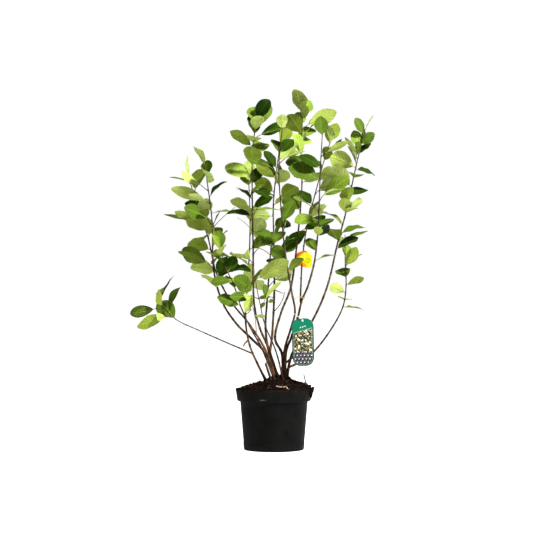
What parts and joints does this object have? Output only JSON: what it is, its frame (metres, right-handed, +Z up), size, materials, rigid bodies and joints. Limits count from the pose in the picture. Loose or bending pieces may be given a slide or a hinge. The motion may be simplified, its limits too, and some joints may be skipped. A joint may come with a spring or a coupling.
{
  "type": "potted chokeberry shrub",
  "caption": "Upright open chokeberry shrub with slender stems and oval leaves in a round black nursery pot, with a hanging care label and a paper band.",
  "frame": {"origin": "middle of the pot's flat underside", "axes": "+Z up along the pot's axis and the plant's height, the care label on the -Y side, +X to the right as seen from the label's side"},
  "size_m": [0.7139, 0.4859, 1.0516],
  "materials": {
    "pot": "satin",
    "soil": "matte",
    "bark": "matte",
    "foliage": "satin",
    "care_label": "satin",
    "label_ring": "satin",
    "paper_band": "satin"
  },
  "bodies": {
    "root": {"pot": "pot", "soil": "soil", "stem_left_arching": "bark", "foliage_left_arching_low": "foliage", "foliage_left_arching_middle": "foliage", "foliage_left_arching_top": "foliage", "stem_left_rear": "bark", "foliage_left_rear_low": "foliage", "foliage_left_rear_top": "foliage", "stem_left_front": "bark", "foliage_left_front_leaves": "foliage", "stem_left_upright": "bark", "foliage_left_upright_low": "foliage", "foliage_left_upright_top": "foliage", "stem_middle_left": "bark", "foliage_middle_left_low": "foliage", "foliage_middle_left_middle": "foliage", "foliage_middle_left_upper": "foliage", "foliage_middle_left_top": "foliage", "stem_middle_front": "bark", "foliage_middle_front_leaves": "foliage", "stem_middle_short": "bark", "foliage_middle_short_leaves": "foliage", "stem_middle_rear": "bark", "foliage_middle_rear_middle": "foliage", "foliage_middle_rear_top": "foliage", "stem_tallest": "bark", "foliage_tallest_middle": "foliage", "foliage_tallest_upper": "foliage", "foliage_tallest_top": "foliage", "stem_middle_right": "bark", "foliage_middle_right_low": "foliage", "foliage_middle_right_middle": "foliage", "foliage_middle_right_top": "foliage", "stem_right_forked": "bark", "foliage_right_forked_low": "foliage", "foliage_right_forked_middle": "foliage", "foliage_right_forked_top": "foliage", "bough_right_fork_bough": "bark", "foliage_right_fork_bough_middle": "foliage", "foliage_right_fork_bough_top": "foliage", "stem_right_arching": "bark", "foliage_right_arching_middle": "foliage", "foliage_right_arching_upper": "foliage", "foliage_right_arching_top": "foliage", "stem_right_low": "bark", "foliage_right_low_low": "foliage", "foliage_right_low_top": "foliage", "bough_low_left_bough": "bark", "foliage_low_left_bough_leaves": "foliage", "care_label": "care_label", "label_ring": "label_ring", "paper_band": "paper_band"}
  },
  "joints": []
}
